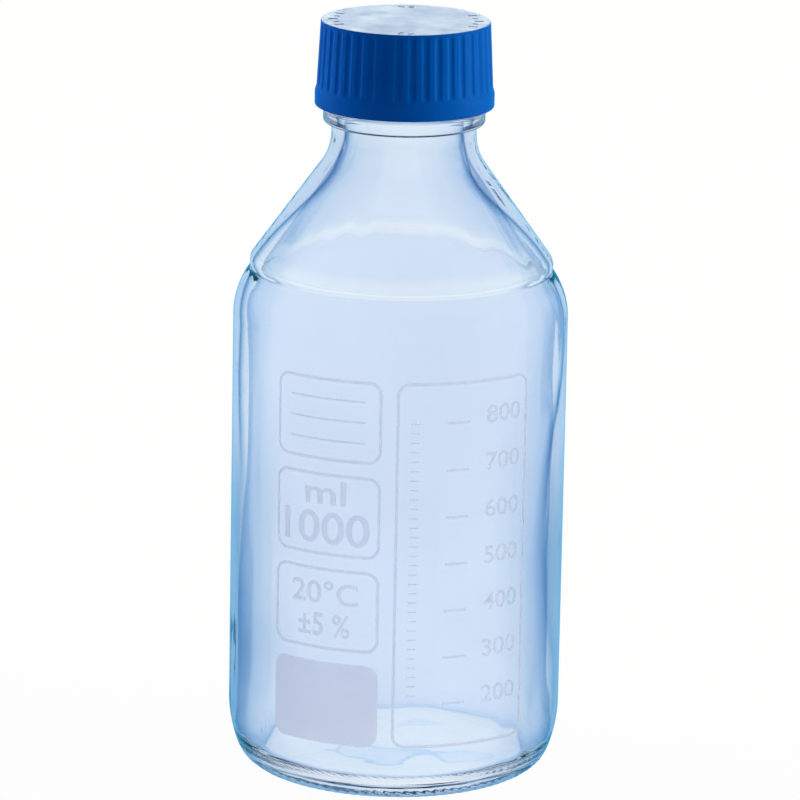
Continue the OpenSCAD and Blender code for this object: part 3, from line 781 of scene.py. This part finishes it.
def makeSmudge():
    # A value that drifts between Low and High in soft patches, as handled surfaces do
    group, into, out = makeGroup("smudge", [("Scale", 60.0), ("Low", 0.2), ("High", 0.4)], "Value")
    nodes, links = group.nodes, group.links
    place = nodes.new("ShaderNodeTexCoord")
    cloud = nodes.new("ShaderNodeTexNoise")
    cloud.inputs["Detail"].default_value = 6
    cloud.inputs["Roughness"].default_value = 0.62
    spread = nodes.new("ShaderNodeMapRange")
    spread.inputs["From Min"].default_value = 0.32
    spread.inputs["From Max"].default_value = 0.68
    links.new(place.outputs["Object"], cloud.inputs["Vector"])
    links.new(into.outputs["Scale"], cloud.inputs["Scale"])
    links.new(cloud.outputs["Fac"], spread.inputs["Value"])
    links.new(into.outputs["Low"], spread.inputs["To Min"])
    links.new(into.outputs["High"], spread.inputs["To Max"])
    links.new(spread.outputs["Result"], out.inputs["Value"])
    return group


def makeGrain():
    # Height of a fine moulded or fired skin
    group, into, out = makeGroup("grain", [("Scale", 900.0), ("Pitting", 0.4)], "Height")
    nodes, links = group.nodes, group.links
    place = nodes.new("ShaderNodeTexCoord")
    fine = nodes.new("ShaderNodeTexNoise")
    fine.inputs["Detail"].default_value = 3
    pits = nodes.new("ShaderNodeTexVoronoi")
    links.new(place.outputs["Object"], fine.inputs["Vector"])
    links.new(place.outputs["Object"], pits.inputs["Vector"])
    links.new(into.outputs["Scale"], fine.inputs["Scale"])
    links.new(into.outputs["Scale"], pits.inputs["Scale"])
    pitted = addMath(nodes, links, "MULTIPLY", pits.outputs["Distance"], into.outputs["Pitting"])
    links.new(addMath(nodes, links, "ADD", fine.outputs["Fac"], pitted), out.inputs["Height"])
    return group


smudge = makeSmudge()
grain = makeGrain()


def startMaterial(name):
    material = bpy.data.materials.new(name)
    material.use_nodes = True
    nodes = material.node_tree.nodes
    return material, nodes, material.node_tree.links, nodes["Principled BSDF"]


def addGroup(nodes, group, values):
    node = nodes.new("ShaderNodeGroup")
    node.node_tree = group
    for label, value in values.items():
        node.inputs[label].default_value = value
    return node


def addBump(nodes, links, shader, height, strength, distance):
    bump = nodes.new("ShaderNodeBump")
    bump.inputs["Strength"].default_value = strength
    bump.inputs["Distance"].default_value = distance
    links.new(height, bump.inputs["Height"])
    links.new(bump.outputs["Normal"], shader.inputs["Normal"])


def addCloud(nodes, scale, span):
    # A value that drifts softly over the span
    return addGroup(nodes, smudge, {"Scale": scale, "Low": span[0], "High": span[1]}).outputs["Value"]


def addSkin(nodes, links, shader, finish):
    # The uneven gloss and the fine grain of moulded or fired stuff
    gloss = addCloud(nodes, finish["glossScale"], finish["roughness"])
    links.new(gloss, shader.inputs["Roughness"])
    skin = addGroup(nodes, grain, {"Scale": finish["grainScale"], "Pitting": finish["pitting"]})
    addBump(nodes, links, shader, skin.outputs["Height"], finish["bump"], finish["bumpDepth"])


def addMix(nodes, links, factor, first, second, kind="MIX"):
    mix = nodes.new("ShaderNodeMix")
    mix.data_type = "RGBA"
    mix.blend_type = kind
    feed(links, mix.inputs["Factor"], factor)
    feed(links, mix.inputs["A"], first)
    feed(links, mix.inputs["B"], second)
    return mix.outputs["Result"]


def addRamp(nodes, links, value, stops):
    ramp = nodes.new("ShaderNodeValToRGB")
    marks = ramp.color_ramp.elements
    while len(marks) < len(stops):
        marks.new(0.5)
    for mark, (place, colour) in zip(marks, stops):
        mark.position = place
        mark.color = (*colour, 1)
    links.new(value, ramp.inputs["Fac"])
    return ramp.outputs["Color"]


clearGlass = {
    "tint": (0.81, 0.876, 0.975), "paintedLightColour": (0.95, 0.985, 0.985), "ior": 1.473,
    "cloudScale": 14.0, "cloud": (0.97, 1.03), "hazeScale": 35.0, "haze": (0.0, 0.015), "scuff": 0.06,
    # The tint from face on to edge on, where it turns into painted blue edge shade, for the lower and upper
    # outside and for the inside
    "lowerTintAndEdgeShade": [(0.25, (0.81, 0.876, 0.975)), (0.40, (0.60, 0.71, 0.84)), (0.55, (0.36, 0.52, 0.73)),
                   (0.72, (0.07, 0.19, 0.45)), (0.90, (0.16, 0.30, 0.55))],
    "upperTintAndEdgeShade": [(0.25, (0.81, 0.876, 0.975)), (0.42, (0.66, 0.76, 0.90)), (0.56, (0.52, 0.65, 0.86)),
                   (0.62, (0.12, 0.28, 0.58)), (0.66, (0.004, 0.04, 0.19)), (0.70, (0.42, 0.54, 0.82)),
                   (0.90, (0.66, 0.74, 0.93))],
    "hollowTintAndEdgeShade": [(0.40, (0.81, 0.876, 0.975)), (0.60, (0.58, 0.72, 0.90)), (0.72, (0.22, 0.40, 0.68)),
                    (0.82, (0.05, 0.18, 0.46)), (1.0, (0.02, 0.10, 0.35))],
}


def makeGlass(g):
    material, nodes, links, shader = startMaterial("clearGlass")

    def kept(label):
        node = nodes.new("ShaderNodeAttribute")
        node.attribute_name = label
        return node.outputs["Fac"]

    # Painted shade: Layer Weight darkens glass seen edge on to blue, in place of the darker surroundings
    # that refraction shows
    facing = nodes.new("ShaderNodeLayerWeight")
    facing.inputs["Blend"].default_value = 0.5
    moved = addMath(nodes, links, "ADD", facing.outputs["Facing"], kept("shift"))
    lower = addRamp(nodes, links, moved, g["lowerTintAndEdgeShade"])
    upper = addRamp(nodes, links, moved, g["upperTintAndEdgeShade"])
    hollow = addRamp(nodes, links, facing.outputs["Facing"], g["hollowTintAndEdgeShade"])
    inside = addMix(nodes, links, kept("hollow"), g["tint"], hollow)
    outside = addMix(nodes, links, kept("upper"), lower, upper)
    tint = addMix(nodes, links, kept("outer"), inside, outside)
    # Painted light: where the pale share is 1, the tint is raised to the paler painted-light colour
    lift = [pale / deep for pale, deep in zip(g["paintedLightColour"], g["tint"])]
    lifted = addMix(nodes, links, kept("pale"), (1, 1, 1), lift)
    paler = addMix(nodes, links, 1.0, tint, lifted, "MULTIPLY")
    cloud = addCloud(nodes, g["cloudScale"], g["cloud"])
    links.new(addMix(nodes, links, 1.0, paler, cloud, "MULTIPLY"), shader.inputs["Base Color"])
    haze = addCloud(nodes, g["hazeScale"], g["haze"])
    scuffed = addMath(nodes, links, "MULTIPLY_ADD", kept("foot"), g["scuff"], haze)
    links.new(scuffed, shader.inputs["Roughness"])
    shader.inputs["IOR"].default_value = g["ior"]
    shader.inputs["Transmission Weight"].default_value = 1.0
    return material


bluePlastic = {
    "deep": (0.0003, 0.070, 0.43), "pale": (0.0004, 0.087, 0.48), "paleCrests": (0.001, 0.14, 0.52),
    "cloudScale": 45.0, "crestFrom": 0.54, "crestTo": 0.66, "crestShare": 0.25,
    "roughness": (0.30, 0.40), "glossScale": 120.0, "specular": 0.05, "tint": (0.1, 0.4, 1.0),
    "grainScale": 1600.0, "pitting": 0.3, "bump": 0.25, "bumpDepth": 0.00008,
}


def makePlastic(p):
    material, nodes, links, shader = startMaterial("bluePlastic")
    cloud = addCloud(nodes, p["cloudScale"], (0.0, 1.0))
    colour = addMix(nodes, links, cloud, p["deep"], p["pale"])
    # Sharp convex crests, found by Pointiness, are drawn in the paler crest colour
    edge = nodes.new("ShaderNodeNewGeometry")
    crestMask = nodes.new("ShaderNodeMapRange")
    crestMask.inputs["From Min"].default_value = p["crestFrom"]
    crestMask.inputs["From Max"].default_value = p["crestTo"]
    crestMask.inputs["To Max"].default_value = p["crestShare"]
    links.new(edge.outputs["Pointiness"], crestMask.inputs["Value"])
    paleCrests = addMix(nodes, links, crestMask.outputs["Result"], colour, p["paleCrests"])
    links.new(paleCrests, shader.inputs["Base Color"])
    shader.inputs["Specular IOR Level"].default_value = p["specular"]
    shader.inputs["Specular Tint"].default_value = (*p["tint"], 1)
    addSkin(nodes, links, shader, p)
    return material


softSilicone = {
    "colour": (0.72, 0.72, 0.69), "second": (0.60, 0.60, 0.57), "cloudScale": 90.0,
    "roughness": (0.5, 0.66), "glossScale": 200.0,
    "grainScale": 1800.0, "pitting": 0.5, "bump": 0.3, "bumpDepth": 0.00005,
}
paleFacing = {
    "colour": (0.83, 0.81, 0.76), "second": (0.74, 0.72, 0.67), "cloudScale": 90.0,
    "roughness": (0.28, 0.42), "glossScale": 200.0,
    "grainScale": 900.0, "pitting": 0.5, "bump": 0.3, "bumpDepth": 0.00005,
}
firedEnamel = {
    "colour": (0.94, 0.93, 1.0), "second": (0.89, 0.89, 0.97), "cloudScale": 160.0,
    "roughness": (0.50, 0.62), "glossScale": 400.0, "through": 0.91, "ior": 1.2,
    "grainScale": 2500.0, "pitting": 0.6, "bump": 0.4, "bumpDepth": 0.00003,
}


def makeTwoTone(name, finish):
    # Two close tones that drift into each other; enamel also lets light through
    material, nodes, links, shader = startMaterial(name)
    cloud = addCloud(nodes, finish["cloudScale"], (0.0, 1.0))
    colour = addMix(nodes, links, cloud, finish["colour"], finish["second"])
    links.new(colour, shader.inputs["Base Color"])
    if "through" in finish:
        shader.inputs["Transmission Weight"].default_value = finish["through"]
        shader.inputs["IOR"].default_value = finish["ior"]
    addSkin(nodes, links, shader, finish)
    return material


def wear(piece, material):
    piece.data.materials.clear()
    piece.data.materials.append(material)


capFinish = makePlastic(bluePlastic)
wear(glassPiece, makeGlass(clearGlass))
wear(ringPiece, capFinish)
wear(capPiece, capFinish)
wear(marksPiece, capFinish)
wear(discPiece, makeTwoTone("softSilicone", softSilicone))
wear(facingPiece, makeTwoTone("paleFacing", paleFacing))
enamelFinish = makeTwoTone("firedEnamel", firedEnamel)
for piece in printPieces:
    wear(piece, enamelFinish)
print("finishes made:", len(bpy.data.materials), "materials")


# The studio: a pale floor, a white surround and soft lamps.

scene.cycles.max_bounces = 48
scene.cycles.transmission_bounces = 40
scene.cycles.glossy_bounces = 40
scene.cycles.transparent_max_bounces = 24

studio = {
    "floorSize": 6.0, "floorDrop": 0.0003, "floorGlow": 0.97, "floorColour": 0.60, "floorRoughness": 0.9,
    "ambient": 0.25, "mirrored": (0.04, 0.46, 0.80),
    "ceiling": (0.42, 0.58, 0.84), "ceilingFrom": 0.35, "ceilingTo": 0.75,
    "cameraDistance": 1.7, "cameraPitch": 14.389, "cameraRoll": 1.066, "target": 0.115,
    "sensor": 36.0, "lens": 252.59, "shiftX": 0.0011, "shiftY": -0.00865, "clip": (0.05, 30.0),
}


def seesBackground(nodes, links):
    # 1 for the camera and for what glass and gloss show, 0 for the light that falls on things
    path = nodes.new("ShaderNodeLightPath").outputs
    glossOrGlass = addMath(nodes, links, "MAXIMUM", path["Is Glossy Ray"], path["Is Transmission Ray"])
    return addMath(nodes, links, "MAXIMUM", path["Is Camera Ray"], glossOrGlass)


def mirrors(nodes, links):
    # 1 for what gloss mirrors, which is bluer than what shows through glass
    path = nodes.new("ShaderNodeLightPath").outputs
    only = addMath(nodes, links, "SUBTRACT", path["Is Glossy Ray"], path["Is Transmission Ray"])
    only.node.use_clamp = True
    return only


def addMixShader(nodes, links, factor, first, second):
    mix = nodes.new("ShaderNodeMixShader")
    links.new(factor, mix.inputs["Fac"])
    links.new(first, mix.inputs[1])
    links.new(second, mix.inputs[2])
    return mix.outputs["Shader"]


def makeWorld(s):
    # White walls, and for glass and gloss a bluish ceiling
    world = bpy.data.worlds.new("whiteRoom")
    world.use_nodes = True
    scene.world = world
    nodes, links = world.node_tree.nodes, world.node_tree.links
    lit = nodes["Background"]
    lit.inputs["Color"].default_value = (1, 1, 1, 1)
    lit.inputs["Strength"].default_value = s["ambient"]
    place = nodes.new("ShaderNodeTexCoord")
    split = nodes.new("ShaderNodeSeparateXYZ")
    rise = nodes.new("ShaderNodeMapRange")
    rise.interpolation_type = "SMOOTHSTEP"
    rise.inputs["From Min"].default_value = s["ceilingFrom"]
    rise.inputs["From Max"].default_value = s["ceilingTo"]
    links.new(place.outputs["Generated"], split.inputs["Vector"])
    links.new(split.outputs["Z"], rise.inputs["Value"])
    walls = addMix(nodes, links, mirrors(nodes, links), (1, 1, 1), s["mirrored"])
    room = addMix(nodes, links, rise.outputs["Result"], walls, s["ceiling"])
    seen = nodes.new("ShaderNodeBackground")
    links.new(room, seen.inputs["Color"])
    sees = seesBackground(nodes, links)
    mix = addMixShader(nodes, links, sees, lit.outputs["Background"], seen.outputs["Background"])
    plain = nodes.new("ShaderNodeBackground")
    plain.inputs["Color"].default_value = (1, 1, 1, 1)
    path = nodes.new("ShaderNodeLightPath").outputs
    straight = addMixShader(nodes, links, path["Is Camera Ray"], mix, plain.outputs["Background"])
    links.new(straight, nodes["World Output"].inputs["Surface"])


def makeFloor(s):
    half = s["floorSize"] / 2
    mesh = bpy.data.meshes.new("floor")
    corners = [(-half, -half), (half, -half), (half, half), (-half, half)]
    mesh.from_pydata([(x, y, -s["floorDrop"]) for x, y in corners], [], [(0, 1, 2, 3)])
    floor = bpy.data.objects.new("floor", mesh)
    scene.collection.objects.link(floor)
    material, nodes, links, shader = startMaterial("paleFloor")
    shader.inputs["Base Color"].default_value = (s["floorColour"],) * 3 + (1,)
    shader.inputs["Roughness"].default_value = s["floorRoughness"]
    shader.inputs["Specular IOR Level"].default_value = 0.0
    glow = nodes.new("ShaderNodeEmission")
    shown = addMix(nodes, links, mirrors(nodes, links), (1, 1, 1), s["mirrored"])
    links.new(shown, glow.inputs["Color"])
    share = addMath(nodes, links, "MULTIPLY", seesBackground(nodes, links), s["floorGlow"])
    mix = addMixShader(nodes, links, share, shader.outputs["BSDF"], glow.outputs["Emission"])
    links.new(mix, nodes["Material Output"].inputs["Surface"])
    floor.data.materials.append(material)


lamps = {
    "leftPanel": {
        "at": (-1.3, 0.6, 0.3), "size": (0.9, 1.2),
        "watts": 28.0, "colour": (1.0, 1.06, 0.86), "gloss": False,
    },
    "rightPanel": {
        "at": (1.45, 0.0, 0.3), "size": (0.9, 1.2),
        "watts": 36.0, "colour": (1.0, 1.06, 0.70), "gloss": False,
    },
    "frontPanel": {
        "at": (0.35, -1.9, 0.7), "size": (0.8, 0.8),
        "watts": 3.0, "colour": (1.0, 1.0, 1.1), "gloss": False,
    },
    "rearPanel": {
        "at": (0.0, 1.9, 0.72), "size": (1.8, 0.7),
        "watts": 24.5, "colour": (0.97, 1.0, 0.77), "gloss": True,
    },
}
lampAim = Vector((0, 0, 0.15))


def makeLamps():
    for name, lamp in lamps.items():
        data = bpy.data.lights.new(name, "AREA")
        data.shape = "RECTANGLE"
        data.size, data.size_y = lamp["size"]
        data.energy = lamp["watts"]
        data.color = lamp["colour"]
        holder = bpy.data.objects.new(name, data)
        holder.location = lamp["at"]
        holder.rotation_euler = (lampAim - Vector(lamp["at"])).to_track_quat("-Z", "Y").to_euler()
        holder.visible_camera = False
        holder.visible_transmission = False
        holder.visible_glossy = lamp["gloss"]
        scene.collection.objects.link(holder)


def makeCamera(s):
    pitch, roll = math.radians(s["cameraPitch"]), math.radians(s["cameraRoll"])
    forward = Vector((0, math.cos(pitch), -math.sin(pitch)))
    right, up = Vector((1, 0, 0)), Vector((0, math.sin(pitch), math.cos(pitch)))
    rolledRight = math.cos(roll) * right + math.sin(roll) * up
    rolledUp = math.cos(roll) * up - math.sin(roll) * right
    data = bpy.data.cameras.new("camera")
    data.sensor_width = s["sensor"]
    data.lens = s["lens"]
    data.shift_x, data.shift_y = s["shiftX"], s["shiftY"]
    data.clip_start, data.clip_end = s["clip"]
    camera = bpy.data.objects.new("camera", data)
    place = Matrix((rolledRight, rolledUp, -forward)).transposed().to_4x4()
    place.translation = Vector((0, 0, s["target"])) - forward * s["cameraDistance"]
    camera.matrix_world = place
    scene.collection.objects.link(camera)
    bpy.context.scene.camera = camera


makeWorld(studio)
makeFloor(studio)
makeLamps()
makeCamera(studio)
scene.view_settings.view_transform = "Standard"
print("studio made")
